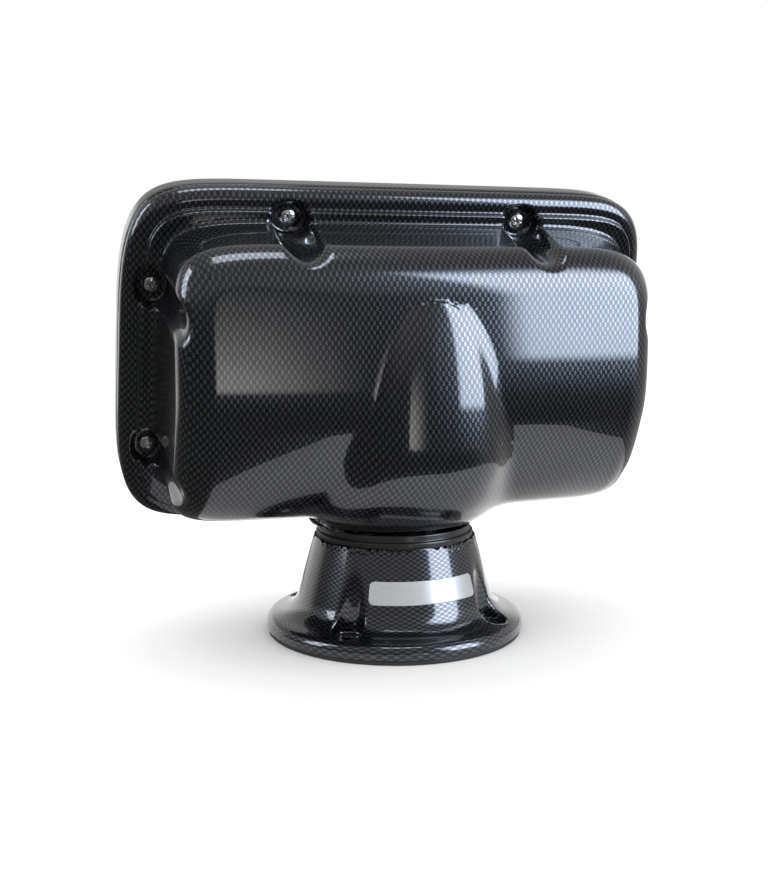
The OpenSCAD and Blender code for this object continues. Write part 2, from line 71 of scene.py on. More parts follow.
def middles(node):
    """Middle of each separate solid of a CAD node, in millimetres."""
    mesh = bmesh.new()
    mesh.from_mesh(frame["nodes"][node].data)
    bmesh.ops.remove_doubles(mesh, verts=mesh.verts, dist=1e-6)
    left, found = set(mesh.verts), []
    while left:
        stack, group = [left.pop()], []
        while stack:
            vert = stack.pop()
            group.append(vert.co[:])
            for edge in vert.link_edges:
                other = edge.other_vert(vert)
                if other in left:
                    left.discard(other)
                    stack.append(other)
        points = np.array(group) / MM
        found.append((points.min(0) + points.max(0)) / 2)
    mesh.free()
    return found


depth_axis = np.array(joint("select_press")["axis"], float)
depth_axis /= np.linalg.norm(depth_axis)
height_axis = np.cross([1.0, 0.0, 0.0], depth_axis)
gasket_low, gasket_high = box_mm("shell_gasket")
seam_centre = (gasket_low + gasket_high) / 2
pod_axes = np.array([[1.0, 0.0, 0.0], depth_axis, height_axis])


def pod_points(points):
    """Points given as x, w, v, in the frame's axes."""
    return seam_centre + np.asarray(points, float) @ pod_axes


def to_pod(points):
    return (np.asarray(points, float) - seam_centre) @ pod_axes.T


# ---- meshes from formulas ----
def mesh_object(name, points, faces, normals=None):
    """A smooth-shaded object from points in millimetres and faces of 3 or 4 corners."""
    faces = np.asarray(faces, np.int32)
    corners = faces.shape[1]
    mesh = bpy.data.meshes.new(name)
    mesh.vertices.add(len(points))
    mesh.vertices.foreach_set("co", (np.asarray(points, float) * MM).astype(np.float32).ravel())
    mesh.loops.add(faces.size)
    mesh.loops.foreach_set("vertex_index", faces.ravel())
    mesh.polygons.add(len(faces))
    mesh.polygons.foreach_set("loop_start", np.arange(0, faces.size, corners, dtype=np.int32))
    mesh.update(calc_edges=True)
    mesh.validate()
    mesh.shade_smooth()
    if normals is not None:
        mesh.normals_split_custom_set_from_vertices(normals.tolist())
    obj = bpy.data.objects.new(name, mesh)
    bpy.context.scene.collection.objects.link(obj)
    return obj


def surface_net(field, axes):
    """Points and four-cornered faces where a field changes sign, on a grid with the given axis values."""
    value = field(*np.meshgrid(*axes, indexing="ij", sparse=True))
    inside = value < 0
    size = np.array(value.shape) - 1
    corners = list(itertools.product((0, 1), repeat=3))

    def shifted(array, corner):
        return array[tuple(slice(c, c + n) for c, n in zip(corner, size))]

    count = sum(shifted(inside, c).astype(np.int8) for c in corners)
    active = (count > 0) & (count < 8)
    index = np.full(active.shape, -1, np.int64)
    index[active] = np.arange(active.sum())
    cell = np.argwhere(active)
    total, crossings = np.zeros((len(cell), 3)), np.zeros(len(cell))
    for a, b in itertools.combinations(corners, 2):
        if sum(abs(i - j) for i, j in zip(a, b)) != 1:
            continue
        at_a, at_b = shifted(value, a)[active], shifted(value, b)[active]
        crossed = (at_a < 0) != (at_b < 0)
        share = at_a[crossed] / (at_a[crossed] - at_b[crossed])
        total[crossed] += np.array(a) + share[:, None] * (np.array(b) - np.array(a))
        crossings[crossed] += 1
    place = total / crossings[:, None]
    points = np.empty_like(place)
    for k, line in enumerate(axes):
        start = line[cell[:, k]]
        points[:, k] = start + place[:, k] * (line[cell[:, k] + 1] - start)
    faces = []
    for k in range(3):
        near = [slice(None)] * 3
        far = [slice(None)] * 3
        near[k], far[k] = slice(0, -1), slice(1, None)
        for other in (1, 2):
            near[(k + other) % 3] = far[(k + other) % 3] = slice(1, -1)
        before, after = inside[tuple(near)], inside[tuple(far)]
        for outward, chosen in ((True, before & ~after), (False, ~before & after)):
            base = np.argwhere(chosen)
            for other in (1, 2):
                base[:, (k + other) % 3] += 1
            one, two = np.zeros(3, int), np.zeros(3, int)
            one[(k + 1) % 3] = two[(k + 2) % 3] = 1
            ring = [base - one - two, base - two, base, base - one]
            quads = np.stack([index[tuple(r.T)] for r in (ring if outward else ring[::-1])], 1)
            faces.append(quads)
    return points, np.concatenate(faces)


def slope_of(field, points, reach=0.02):
    """Gradient of a field at points, by central differences."""
    slope = np.empty_like(points)
    for k in range(3):
        step = np.zeros(3)
        step[k] = reach
        slope[:, k] = field(*(points + step).T) - field(*(points - step).T)
    return slope / (2 * reach)


def skin(field, axes, pulls=3):
    """Points, faces and normals where a field is zero. A grid finds them, and each is then pulled onto it."""
    points, faces = surface_net(field, axes)
    longest = max(float(np.diff(line).max()) for line in axes) * 0.6
    for _ in range(pulls):
        slope = slope_of(field, points)
        step = field(*points.T)[:, None] * slope / np.maximum((slope**2).sum(1), 0.05)[:, None]
        length = np.linalg.norm(step, axis=1)
        points -= step * np.minimum(1, longest / np.maximum(length, 1e-9))[:, None]
    normals = slope_of(field, points, 0.05)
    normals /= np.maximum(np.linalg.norm(normals, axis=1), 1e-9)[:, None]
    return points, faces, normals


def formed(name, field, axes, turn=True):
    """An object whose surface is where a field is zero, given in the pod's axes unless turn is False."""
    points, faces, normals = skin(field, axes)
    if turn:
        points, normals = pod_points(points), normals @ pod_axes
    return mesh_object(name, points, faces, normals)


def smooth_union(a, b, k):
    share = np.maximum(k - np.abs(a - b), 0) / k
    return np.minimum(a, b) - share**2 * k / 4


def smooth_cut(a, b, k):
    """a without b, its edge rounded."""
    return -smooth_union(-a, b, k)


def round_meet(a, b, radius):
    """What is inside both a and b, the edge where they meet rounded to a radius."""
    over_a, over_b = np.maximum(a + radius, 0), np.maximum(b + radius, 0)
    return np.minimum(np.maximum(a, b), -radius) + np.hypot(over_a, over_b)


def grid(low, high, step):
    return np.linspace(low, high, int(math.ceil((high - low) / step)) + 1)


# ---- outlines of the pod ----
SEAM = dict(a=144.0, b=92.3, p=11.0, q=4.2, v0=0.0)
CREASE = dict(a=127.0, b=75.2, p=8.0, q=8.0, v0=2.0)


def outside(x, v, shape):
    """Distance outside an outline |x/a|^p + |v/b|^q = 1, negative inside, and its outward direction."""
    sx, sv = np.abs(x) / shape["a"] + 1e-4, np.abs(v - shape["v0"]) / shape["b"] + 1e-4
    fx, fv = sx ** shape["p"], sv ** shape["q"]
    total = fx + fv
    gx = np.sign(x) * shape["p"] * fx / sx / shape["a"] / total
    gv = np.sign(v - shape["v0"]) * shape["q"] * fv / sv / shape["b"] / total
    steep = np.hypot(gx, gv) + 1e-9
    return np.log(total) / steep, gx / steep, gv / steep


# ---- rear shell ----
WALL = 3.5
SEAM_GAP = 0.5
TIER_W, STEP_W = 8.0, 12.0
TIER_INSET = 9.2
RIM_R, TIER_R = 6.5, 0.9
TOP_DEPTH, FULL_DEPTH, LOW_W = 54.0, 82.0, 16.0
MID_V = -5.0
EDGE_R = 15.0
DRAFT = 2.0
SIDE_FALL = 4.5


def crown(x, v):
    """Depth of the moulded back and its slopes along x and v, with an even fall above the middle."""
    top, foot = CREASE["v0"] + CREASE["b"], CREASE["v0"] - CREASE["b"]
    soft = 0.2
    up = np.clip((v - MID_V) / (top - MID_V), 0, 1.2)
    bow = np.sqrt(up**2 + soft**2)
    full = math.sqrt(1 + soft**2) - soft
    above = TOP_DEPTH + (FULL_DEPTH - TOP_DEPTH) * (1 - (bow - soft) / full)
    above_slope = -(FULL_DEPTH - TOP_DEPTH) * up / bow / full / (top - MID_V)
    down = np.clip((MID_V - v) / (MID_V - foot), 0, 0.995)
    rest = 1 - down**2.9
    below = LOW_W + (FULL_DEPTH - LOW_W) * rest ** (1 / 2.9)
    below_slope = (FULL_DEPTH - LOW_W) * rest ** (1 / 2.9 - 1) * down**1.9 / (MID_V - foot)
    high = v > MID_V
    across = x / CREASE["a"]
    return (
        np.where(high, above, below) - SIDE_FALL * across**2,
        -2 * SIDE_FALL * across / CREASE["a"],
        np.where(high, above_slope, below_slope),
    )


def bulge(x, w, v):
    """Field of the moulded back behind the flange, close to a true distance near its surface."""
    edge, nx, nv = outside(x, v, CREASE)
    wall = edge + DRAFT * np.sin(np.clip((w - STEP_W) / 24, 0, 1) * math.pi / 2)
    depth, slope_x, slope_v = crown(x, v)
    cap = w - depth
    over_wall, over_cap = np.maximum(wall + EDGE_R, 0), np.maximum(cap + EDGE_R, 0)
    reach = np.hypot(over_wall, over_cap)
    field = np.minimum(np.maximum(wall, cap), -EDGE_R) + reach
    cap_length = 1 + slope_x**2 + slope_v**2
    meet = -(nx * slope_x + nv * slope_v)
    length = np.sqrt(np.maximum(
        over_wall**2 + over_cap**2 * cap_length + 2 * over_wall * over_cap * meet, 1e-6)) / (reach + 1e-6)
    return field / np.maximum(length, 0.6)


THUMB_LOW, THUMB_MID, THUMB_TOP = 60.8, 107.5, 178.0
THUMB_BACK, THUMB_HALF, THUMB_FRONT = 70.5, 48.0, 26.0
NECK_R, NECK_BLEND = 41.0, 20.0


def thumb_ring(z):
    """Middle, half depth and half width of the thumb at a height."""
    low = np.clip((THUMB_MID - z) / (THUMB_MID - THUMB_LOW), 0, 0.999)
    back = np.where(z < THUMB_MID, NECK_R + (THUMB_BACK - NECK_R) * (1 - low**2) ** 0.8,
                    THUMB_BACK - 3.8 * ((z - THUMB_MID) / 63.5) ** 2)
    neck = np.clip((THUMB_LOW + NECK_BLEND - z) / NECK_BLEND, 0, 1.1)
    over = np.clip((z - 95) / (THUMB_TOP - 95), 0, 0.999)
    half = np.where(z < 95, THUMB_HALF - (THUMB_HALF - NECK_R) * neck**2,
                    THUMB_HALF * (1 - over**3.2) ** 0.5)
    front = np.where(z < THUMB_MID, -THUMB_FRONT - (NECK_R - THUMB_FRONT) * neck**2, back - 2 * half)
    return (back + front) / 2, (back - front) / 2, half


def thumb(x, y, z):
    """Field of the swollen housing of the tilt joint."""

    def reach(height):
        middle, deep, half = thumb_ring(height)
        power = 2 + 0.7 * np.clip((height - 70) / 30, 0, 1)
        beside, behind = np.abs(x) / half, np.abs(y - middle) / deep
        return (beside**power + behind**power + 1e-9) ** (1 / power), middle, deep, half, power

    size, middle, deep, half, power = reach(z)
    across = (np.abs(x) / half / size) ** (power - 1) / half
    along = (np.abs(y - middle) / deep / size) ** (power - 1) / deep
    rise = (reach(z + 0.2)[0] - reach(z - 0.2)[0]) / 0.4
    field = (size - 1) / np.sqrt(across**2 + along**2 + rise**2)
    aside = np.maximum(np.abs(x) - half, np.abs(y - middle) - deep)
    field = np.maximum(np.maximum(field, 0.7 * aside), z - THUMB_TOP)
    return round_meet(field, THUMB_LOW - z, 2.0)


def flange(x, w, v):
    edge = outside(x, v, SEAM)[0]
    rim = round_meet(edge, w - TIER_W, RIM_R)
    tier = round_meet(edge + TIER_INSET, w - STEP_W, TIER_R)
    return smooth_union(rim, tier, 1.5)


SEAT_W = 4.0
WELL_ALONG, WELL_ACROSS, WELL_GROWTH = 9.6, 7.9, 0.012
screw_spots = [to_pod(middle) for middle in middles("shell_screws")]


def wells(x, w, v):
    """Field of the driver wells: a flat seat for each screw and an oval scoop through the moulded back."""
    best = None
    grown = WELL_GROWTH * (w - SEAT_W)
    for spot in screw_spots:
        sizes = (WELL_ALONG, WELL_ACROSS) if abs(spot[2]) > 60 else (WELL_ACROSS, WELL_ALONG)
        half_x, half_v = sizes[0] + grown, sizes[1] + grown
        across, along = (x - spot[0]) / half_x, (v - spot[2]) / half_v
        size = np.hypot(across, along) + 1e-6
        one = (size - 1) * size / np.hypot(across / half_x, along / half_v)
        best = one if best is None else np.minimum(best, one)
    return round_meet(best, SEAT_W - w, 1.5)


OPENING_X, OPENING_Y, OPENING_TOP = 27.0, (-38.0, 24.0), 70.0
SHELL_STEP = 1.55


def rear_field(x, w, v):
    """The hollow rear shell, open at the seam and at the thumb's underside."""
    y = seam_centre[1] + w * depth_axis[1] + v * height_axis[1]
    z = seam_centre[2] + w * depth_axis[2] + v * height_axis[2]
    body = smooth_union(bulge(x, w, v), flange(x, w, v), 2.5)
    blend = 2.5 + 9 * np.clip((130 - z) / 60, 0, 1)
    body = smooth_union(body, thumb(x, y, z), blend)
    body = smooth_cut(body, wells(x, w, v), 3.0)
    shell = np.maximum(body, -(body + WALL))
    half_y = (OPENING_Y[1] - OPENING_Y[0]) / 2
    opening = np.maximum(np.abs(x) - OPENING_X, np.abs(y - sum(OPENING_Y) / 2) - half_y)
    opening = np.maximum(opening, z - OPENING_TOP)
    shell = smooth_cut(shell, opening, 0.8)
    return np.maximum(shell, SEAM_GAP - w)


def rear_shell():
    fine_to = STEP_W + 3.5
    depths = np.concatenate([grid(SEAM_GAP - 1.5, fine_to, 0.95)[:-1], grid(fine_to, 97.5, 1.6)])
    across, heights = grid(-147, 147, SHELL_STEP), grid(-95, 95.5, SHELL_STEP)
    obj = formed("rear_shell_skin", rear_field, (across, depths, heights))
    return finish_piece(obj, "pod", "carbon_gloss", "rear_shell")


# ---- front shell ----
def square_walk(count):
    """Evenly spaced points round the square that reaches from -1 to 1 each way."""
    turn = np.arange(count) / count * 4
    side, along = turn.astype(int), 2 * (turn % 1) - 1
    sides = [side == 0, side == 1, side == 2]
    return np.select(sides, [1.0, -along, -1.0], along), np.select(sides, [along, 1.0, -along], -1.0)


def outline(shape, count=480):
    """Points round an outline and their outward normals, walked evenly along its box."""
    ux, uv = square_walk(count)
    scale = np.ones(count)
    for _ in range(14):
        fx, fv = np.abs(scale * ux) ** shape["p"], np.abs(scale * uv) ** shape["q"]
        scale -= (fx + fv - 1) / ((shape["p"] * fx + shape["q"] * fv) / scale)
    points = np.stack([shape["a"] * scale * ux, shape["v0"] + shape["b"] * scale * uv], 1)
    _, nx, nv = outside(points[:, 0], points[:, 1], shape)
    return points, np.stack([nx, nv], 1)


def rounded_rect(wide, high, radius, count=480):
    """Points round a rectangle with round corners, in step with outline()."""
    ux, uv = square_walk(count)
    box = np.stack([ux * wide / 2, uv * high / 2], 1)
    core = np.clip(box, [-wide / 2 + radius, -high / 2 + radius], [wide / 2 - radius, high / 2 - radius])
    out = box - core
    length = np.linalg.norm(out, axis=1)[:, None]
    return core + radius * out / np.maximum(length, 1e-9)


def at_w(points, w):
    return np.stack([points[:, 0], np.full(len(points), float(w)), points[:, 1]], 1)


def loft(rings, wrap=False):
    """Points and faces through rings of equal count, the ends closed by fans unless the rings wrap round."""
    rings = [np.asarray(r, float) for r in rings]
    count = len(rings[0])
    points = np.concatenate(rings)
    i = np.arange(count)
    j = (i + 1) % count
    last = len(rings) if wrap else len(rings) - 1
    faces = []
    for r in range(last):
        a, b = r * count, (r + 1) % len(rings) * count
        faces += np.stack([a + i, a + j, b + j, b + i], 1).tolist()
    if not wrap:
        ends = np.array([rings[0].mean(0), rings[-1].mean(0)])
        points = np.concatenate([points, ends])
        first, final = len(points) - 2, len(points) - 1
        faces += [(first, int(k), int(m)) for k, m in zip(j, i)]
        top = (len(rings) - 1) * count
        faces += [(final, int(top + k), int(top + m)) for k, m in zip(i, j)]
    return points, faces


def lofted(name, rings, place=None, wrap=False):
    points, faces = loft(rings, wrap)
    return plain_mesh(name, place(points) if place else points, faces)


SHARP_ANGLE = math.radians(40)


def plain_mesh(name, points, faces):
    """An object from points in millimetres, smooth but for its sharp edges."""
    mesh = bpy.data.meshes.new(name)
    mesh.from_pydata((np.asarray(points, float) * MM).tolist(), [], [tuple(f) for f in faces])
    edit = bmesh.new()
    edit.from_mesh(mesh)
    bmesh.ops.recalc_face_normals(edit, faces=edit.faces)
    edit.to_mesh(mesh)
    edit.free()
    mesh.shade_smooth()
    mesh.set_sharp_from_angle(angle=SHARP_ANGLE)
    obj = bpy.data.objects.new(name, mesh)
    bpy.context.scene.collection.objects.link(obj)
    return obj


FRONT_W = -21.0
FRONT_EDGE, EDGE_INSET = 12.0, 11.0
CUT_WIDE, CUT_HIGH, CUT_R = 218, 126, 8
LIP_BEVEL = 0.5


def front_shell():
    """The front shell as one closed loft: outer side, round edge, face, display cut-out and inner side."""
    seam, normal = outline(SEAM)

    def inset(d):
        return seam - d * normal

    rings = [at_w(inset(0.25), -SEAM_GAP), at_w(inset(0.0), -SEAM_GAP - 0.3), at_w(inset(0.0), -4.0)]
    for a in np.radians(np.arange(5, 91, 5)):
        rings.append(at_w(inset(EDGE_INSET * (1 - math.cos(a))), FRONT_W + FRONT_EDGE * (1 - math.sin(a))))
    cut = rounded_rect(CUT_WIDE, CUT_HIGH, CUT_R)
    lip = rounded_rect(CUT_WIDE + 2 * LIP_BEVEL, CUT_HIGH + 2 * LIP_BEVEL, CUT_R + LIP_BEVEL)
    inner = FRONT_W + WALL
    rings += [at_w(lip, FRONT_W), at_w(cut, FRONT_W + LIP_BEVEL), at_w(cut, inner)]
    rings += [at_w(inset(9), inner), at_w(inset(5), inner + 3), at_w(inset(WALL), inner + 8)]
    rings.append(at_w(inset(WALL), -SEAM_GAP))
    obj = lofted("front_shell_skin", rings, pod_points, wrap=True)
    return finish_piece(obj, "pod", "carbon_gloss", "front_shell")


# ---- pedestal ----
CORNER_R, CORNER_STEPS = 0.4, 4


def turned(name, profile, count):
    """A ring of revolution round Z from a closed profile of radius, height and, where it isn't the usual one,
    the size of the rounded corner."""
    rounded = []
    size = len(profile)
    for k in range(size):
        before, here, after = (np.array(profile[(k + d) % size][:2], float) for d in (-1, 0, 1))
        radius = profile[k][2] if len(profile[k]) > 2 else CORNER_R
        one, two = before - here, after - here
        reach = min(radius, np.linalg.norm(one) * 0.45, np.linalg.norm(two) * 0.45)
        start, end = here + one / np.linalg.norm(one) * reach, here + two / np.linalg.norm(two) * reach
        if reach < 0.02:
            rounded.append(here)
            continue
        for t in np.linspace(0, 1, CORNER_STEPS + 1):
            rounded.append((1 - t) ** 2 * start + 2 * t * (1 - t) * here + t**2 * end)
    angle = np.arange(count) / count * 2 * math.pi
    rings = [np.stack([r * np.cos(angle), r * np.sin(angle), np.full(count, z)], 1) for r, z in rounded]
    return lofted(name, rings, wrap=True)


base_low, base_high = box_mm("pedestal")
BASE_R, CONE_TOP = base_high[0], base_high[2]
GASKET_T = base_low[2]
CONE_R, CONE_LEAN = 54.0, 0.273
CONE_FOOT_Z = 15.0
SHELF_Z = box_mm("thrust_ring")[0][2]
COLLAR_WELL_R = 43.1
FLUTE_R, FLUTE_AT = 8.2, 56.0
FLUTE_FLOOR = 8.5
DECK_HOLE_R = 3.0
STEM_HOLE_R = 20.0
PLATE_T = 5.0


def pedestal_field(x, y, z):
    r = np.hypot(x, y)
    top = (z - 12 + 0.25 * (r - 58)) / math.hypot(1, 0.25)
    disc = round_meet(r - BASE_R, top, 3.4)
    cone = (r - CONE_R + CONE_LEAN * (z - CONE_FOOT_Z)) / math.hypot(1, CONE_LEAN)
    cone = round_meet(cone, z - CONE_TOP, 1.2)
    body = smooth_union(disc, cone, 7.5)
    flutes = None
    for turn in (45, 135, 225, 315):
        a = math.radians(turn)
        off = np.hypot(x - FLUTE_AT * math.cos(a), y - FLUTE_AT * math.sin(a))
        one = np.minimum(round_meet(off - FLUTE_R, FLUTE_FLOOR - z, 1.2), off - DECK_HOLE_R)
        flutes = one if flutes is None else np.minimum(flutes, one)
    body = smooth_cut(body, flutes, 1.8)
    hollow = (r - 47 + 0.145 * (z - 8.5)) / math.hypot(1, 0.145)
    body = smooth_cut(body, round_meet(hollow, z - SHELF_Z + PLATE_T, 3.0), 0.8)
    body = smooth_cut(body, np.maximum(r - COLLAR_WELL_R, SHELF_Z - z), 0.4)
    body = smooth_cut(body, r - STEM_HOLE_R, 0.6)
    return round_meet(body, GASKET_T - z, 0.6)


def pedestal():
    reach = BASE_R + 2
    lines = grid(-reach, reach, 1.15)
    heights = grid(GASKET_T - 1.4, CONE_TOP + 1.4, 0.85)
    obj = formed("pedestal_skin", pedestal_field, (lines, lines, heights), turn=False)
    return finish_piece(obj, "base", "carbon_round", "pedestal")


LABEL_R, LABEL_CORNER, LABEL_COUNT = 50.0, 2.6, 240


def label():
    """A blank film plate wrapped on the cone. Each step is an inset and a lift off the cone."""
    low, high = box_mm("blank_label")
    tall, mid_z = high[2] - low[2], (high[2] + low[2]) / 2
    half_turn = math.asin(high[0] / high[1])
    wide = 2 * half_turn * LABEL_R

    def wrap(flat, lift):
        angle = math.pi / 2 - flat[:, 0] / LABEL_R
        z = mid_z + flat[:, 1]
        r = CONE_R - CONE_LEAN * (z - CONE_FOOT_Z) + lift
        return np.stack([r * np.cos(angle), r * np.sin(angle), z], 1)

    steps = [(0.0, -0.25), (0.0, 0.12), (0.08, 0.22), (0.3, 0.28)]
    rings = []
    for d, lift in steps:
        rings.append(wrap(rounded_rect(wide - 2 * d, tall - 2 * d, LABEL_CORNER - d, LABEL_COUNT), lift))
    edge, face_lift = steps[-1]
    for share in np.linspace(0.95, 0.02, 24):
        flat = rounded_rect((wide - 2 * edge) * share, (tall - 2 * edge) * share,
                            (LABEL_CORNER - edge) * share, LABEL_COUNT)
        rings.append(wrap(flat, face_lift))
    obj = lofted("label_plate", rings)
    return finish_piece(obj, "base", "label_film", "blank_label")


STEM_R, STEM_BORE_R, STEM_FOOT = 17, 13, 18
HUB_R, HUB_FOOT = 29.8, 48.5
RING_FOOT, COLLAR_FLOOR = 50.5, 52.5
LIP_R, LIP_INNER_R = 41, 38.4


def collar():
    """The swivel collar: hollow stem, hub, and a cupped ring with a raised lip."""
    _, high = box_mm("swivel_collar")
    wide, top = high[0], high[2]
    stem = [(STEM_BORE_R, STEM_FOOT), (STEM_R, STEM_FOOT), (STEM_R, HUB_FOOT), (HUB_R, HUB_FOOT)]
    ring = [(HUB_R, RING_FOOT), (wide, RING_FOOT, 0.7), (wide, top - 3.6, 0.9), (LIP_R, top - 3.4, 0.5)]
    lip = [(LIP_R, top, 0.7), (LIP_INNER_R, top, 0.7), (LIP_INNER_R, COLLAR_FLOOR, 1.2)]
    obj = turned("collar_ring", stem + ring + lip + [(STEM_BORE_R, COLLAR_FLOOR)], count=240)
    return finish_piece(obj, "swivel", "black_moulding", "swivel_collar")


# ---- screws ----
HEAD_R, HEAD_H = 4.4, 2.9
SHANK_R, SHANK_LENGTH = 1.95, 12
RECESS_DEPTH = 1.7
DOME = 0.062


def screw_field(x, y, z):
    """A pan-head screw with a cross recess, its seat at z = 0."""
    r = np.hypot(x, y)
    dome = (z - HEAD_H + DOME * r**2) / np.sqrt(1 + (2 * DOME * r) ** 2)
    head = round_meet(round_meet(r - HEAD_R, dome, 0.9), -z, 0.25)
    shank = round_meet(r - SHANK_R, z - 0.5, 0.1)
    shank = round_meet(shank, -z - SHANK_LENGTH, 0.5)
    arm = 0.5 + 0.16 * (z - HEAD_H + 1.6)
    reach = 1.55 + 0.45 * (z - HEAD_H + 1.6)
    one = np.maximum(np.abs(x) - arm, np.abs(y) - reach)
    other = np.maximum(np.abs(y) - arm, np.abs(x) - reach)
    cross = np.maximum(np.minimum(one, other), HEAD_H - RECESS_DEPTH - z)
    return smooth_cut(smooth_union(head, shank, 0.3), cross, 0.22)


SCREW_ROLLS = (0.2, 0.9, 0.5, 1.2, 0.75, 0.35, 1.4, 0.05)


def shell_screws():
    """One screw in each well, each turned a little differently about its own axis."""
    lines = grid(-4.9, 4.9, 0.24)
    heights = np.concatenate([grid(-12.6, -0.6, 1.0)[:-1], grid(-0.6, 3.4, 0.22)])
    points, faces, normals = skin(screw_field, (lines, lines, heights))
    spots, quads, turned_normals = [], [], []
    for k, (spot, roll) in enumerate(zip(screw_spots, SCREW_ROLLS)):
        c, s = math.cos(roll), math.sin(roll)
        spin = np.array([[c, s, 0], [-s, c, 0], [0, 0, 1]])
        local, around = points @ spin, normals @ spin
        place = np.stack([spot[0] + local[:, 0], SEAT_W + local[:, 2], spot[2] - local[:, 1]], 1)
        aim = np.stack([around[:, 0], around[:, 2], -around[:, 1]], 1)
        spots.append(pod_points(place))
        turned_normals.append(aim @ pod_axes)
        quads.append(faces + k * len(points))
    points, faces, normals = (np.concatenate(part) for part in (spots, quads, turned_normals))
    obj = mesh_object("case_screws", points, faces, normals)
    return finish_piece(obj, "pod", "stainless", "shell_screws")


# ---- materials ----
class Tree:
    """A material's node tree with short ways to add and join nodes."""

    def __init__(self, name):
        self.material = bpy.data.materials.new(name)
        self.material.use_nodes = True
        self.nodes = self.material.node_tree.nodes
        self.links = self.material.node_tree.links
        self.shader = self.nodes["Principled BSDF"]

    def set(self, **values):
        for key, value in values.items():
            self.shader.inputs[key.replace("_", " ")].default_value = value

    def put(self, socket, value):
        if hasattr(value, "is_output"):
            self.links.new(value, socket)
        else:
            socket.default_value = value

    def math(self, kind, a, b=None):
        node = self.nodes.new("ShaderNodeMath")
        node.operation = kind
        for socket, value in zip(node.inputs, (a, b)):
            if value is not None:
                self.put(socket, value)
        return node.outputs[0]

    def ramp(self, value, low, high, to_low=0.0, to_high=1.0):
        """A smooth change between two levels as a value goes from low to high."""
        node = self.nodes.new("ShaderNodeMapRange")
        node.interpolation_type = "SMOOTHSTEP"
        for socket, given in zip(node.inputs[:5], (value, low, high, to_low, to_high)):
            self.put(socket, given)
        return node.outputs[0]

    def band(self, value, middle, inner, outer):
        """1 within the inner distance of a middle value, falling to 0 at the outer distance."""
        away = self.math("ABSOLUTE", self.math("SUBTRACT", value, middle))
        return self.ramp(away, inner, outer, 1.0, 0.0)

    def length(self, a, b):
        squares = self.math("ADD", self.math("MULTIPLY", a, a), self.math("MULTIPLY", b, b))
        return self.math("SQRT", squares)

    def mix(self, share, a, b):
        node = self.nodes.new("ShaderNodeMix")
        node.data_type = "RGBA"
        self.put(node.inputs[0], share)
        self.put(node.inputs[6], a)
        self.put(node.inputs[7], b)
        return node.outputs[2]

    def mix_value(self, share, a, b):
        node = self.nodes.new("ShaderNodeMix")
        self.put(node.inputs[0], share)
        self.put(node.inputs[2], a)
        self.put(node.inputs[3], b)
        return node.outputs[0]

    def noise(self, vector, scale, detail=3.0, roughness=0.5):
        node = self.nodes.new("ShaderNodeTexNoise")
        self.put(node.inputs["Vector"], vector)
        node.inputs["Scale"].default_value = scale
        node.inputs["Detail"].default_value = detail
        node.inputs["Roughness"].default_value = roughness
        return node.outputs["Fac"]

    def coords(self, output="Object"):
        return self.nodes.new("ShaderNodeTexCoord").outputs[output]

    def turned(self, vector, angle, kind="POINT"):
        """A vector turned about X."""
        node = self.nodes.new("ShaderNodeMapping")
        node.vector_type = kind
        self.put(node.inputs["Vector"], vector)
        node.inputs["Rotation"].default_value = (angle, 0, 0)
        return node.outputs[0]

    def split(self, vector):
        node = self.nodes.new("ShaderNodeSeparateXYZ")
        self.put(node.inputs[0], vector)
        return node.outputs

    def join(self, x, y, z):
        node = self.nodes.new("ShaderNodeCombineXYZ")
        for socket, value in zip(node.inputs, (x, y, z)):
            self.put(socket, value)
        return node.outputs[0]

    def bump(self, height, distance, strength=1.0):
        node = self.nodes.new("ShaderNodeBump")
        node.inputs["Strength"].default_value = strength
        node.inputs["Distance"].default_value = distance
        self.put(node.inputs["Height"], height)
        self.links.new(node.outputs[0], self.shader.inputs["Normal"])


POD_LEAN = math.atan2(-depth_axis[2], depth_axis[1])
DASH_PITCH, ROW_PITCH = 0.0030, 0.0021
PRINT_DRIFT = 0.004
PRINT_TURN_R = 0.05
SIDE_SHARE = (0.68, 0.74)


def weave(tree, across, along):
    """1 on a light dash of the printed weave and 0 beside it, with every other row shifted by half."""
    a = tree.math("DIVIDE", across, DASH_PITCH)
    b = tree.math("DIVIDE", along, ROW_PITCH)
    row = tree.math("FLOOR", b)
    odd = tree.math("MULTIPLY", tree.math("FLOORED_MODULO", row, 2.0), 0.5)
    in_width = tree.band(tree.math("FRACT", tree.math("ADD", a, odd)), 0.5, 0.13, 0.25)
    in_length = tree.band(tree.math("FRACT", b), 0.5, 0.43, 0.53)
    return tree.math("MULTIPLY", in_width, in_length)


def carbon_finish(tree, mask, cloud):
    """Foil-like dashes in dark resin under a clear coat. They shine more than they scatter."""
    light = tree.mix(cloud, (0.052, 0.057, 0.064, 1), (0.080, 0.087, 0.096, 1))
    colour = tree.mix(mask, (0.005, 0.006, 0.009, 1), light)
    tree.links.new(colour, tree.shader.inputs["Base Color"])
    tree.set(Metallic=0.84, Roughness=0.24)
    tree.set(Coat_Weight=1.0, Coat_Roughness=0.02, Coat_IOR=1.5)


